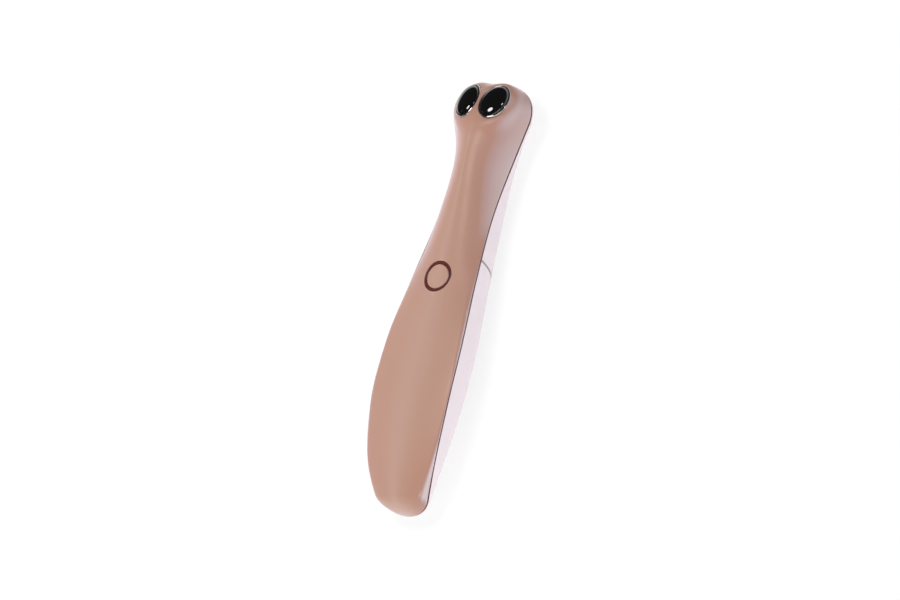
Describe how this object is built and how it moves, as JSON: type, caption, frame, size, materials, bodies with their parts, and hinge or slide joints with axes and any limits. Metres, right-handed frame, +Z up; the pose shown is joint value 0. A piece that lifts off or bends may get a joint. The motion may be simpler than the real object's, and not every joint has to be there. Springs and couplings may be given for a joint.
{
  "type": "heated eye massager",
  "caption": "Slim hand wand with a tilted head carrying warm oval domes, a round push button on the sloping front, a sealed two-part case and a charging socket in the back.",
  "frame": {"origin": "middle of the length, on the plane of symmetry, in the resting plane", "axes": "+Z up, out of the button side; +Y toward the head; +X to the right, seen from the button side with the head up"},
  "size_m": [0.0344, 0.16, 0.0241],
  "materials": {
    "rose_shell": "satin pearl rose gold",
    "pearl_shell": "satin pearl lilac white",
    "band_grey": "satin grey",
    "seam_maroon": "dark maroon silicone",
    "ring_maroon": "gloss, dark maroon",
    "inner_rubber": "matte silicone",
    "black_plastic": "moulded",
    "board_green": "solder mask",
    "led_white": "clear resin over a chip",
    "nylon": "moulded",
    "steel": "plated",
    "nickel": "nickel plated",
    "cell_blue": "heat-shrunk film",
    "foam": "closed-cell foam",
    "dome_black": "mirror gloss, opaque black",
    "bezel_silver": "mirror polish",
    "heater_film": "amber film with a printed track",
    "lead_red": "silicone insulation",
    "lead_black": "silicone insulation",
    "lead_blue": "silicone insulation",
    "lead_white": "silicone insulation"
  },
  "bodies": {
    "housing": {"front_cover": "rose_shell", "back_cover_lower": "pearl_shell", "back_cover_upper": "pearl_shell", "back_band": "band_grey", "seam_gasket": "seam_maroon", "button_ring": "ring_maroon", "switch_body": "steel", "main_board": "board_green", "charge_board": "board_green", "control_chip": "black_plastic", "power_coil": "black_plastic", "charge_chip": "black_plastic", "status_leds": "led_white", "board_screws": "steel", "inner_frame": "nylon", "frame_screws": "steel", "cell": "steel", "cell_wrap": "cell_blue", "cell_tabs": "nickel", "cell_foam": "foam", "motor_can": "nickel", "motor_end_cap": "black_plastic", "motor_sleeve": "inner_rubber", "dome_left": "dome_black", "dome_right": "dome_black", "bezel_left": "bezel_silver", "bezel_right": "bezel_silver", "dome_seal_left": "inner_rubber", "dome_seal_right": "inner_rubber", "heater_left": "heater_film", "heater_right": "heater_film", "thermistors": "black_plastic", "dome_carrier": "nylon", "carrier_screws": "steel", "charge_shell": "steel", "charge_tongue": "black_plastic", "charge_board_screws": "steel", "cell_leads": "lead_red", "charge_leads": "lead_black", "motor_leads": "lead_blue", "heater_leads": "lead_white"},
    "button": {"button_cap": "rose_shell", "button_pad": "inner_rubber"},
    "plunger": {"switch_plunger": "black_plastic"},
    "rotor": {"motor_shaft": "steel", "motor_weight": "steel"}
  },
  "joints": [
    {"name": "button_press", "type": "slide", "parent": "housing", "child": "button", "axis": [0, 0.0178, 0.9998], "range_m": [-0.0003, 0], "stiffness_N_per_m": 900, "springref_m": 0.0012},
    {"name": "plunger_travel", "type": "slide", "parent": "housing", "child": "plunger", "axis": [0, 0.0178, 0.9998], "range_m": [-0.0003, 0]},
    {"name": "rotor_spin", "type": "hinge", "parent": "housing", "child": "rotor", "pos_m": [0, 0.02272, 0.00786], "axis": [0, 1, 0], "continuous": true}
  ],
  "couplings": [
    {"joint": "plunger_travel", "follows": "button_press", "ratio": 1}
  ]
}
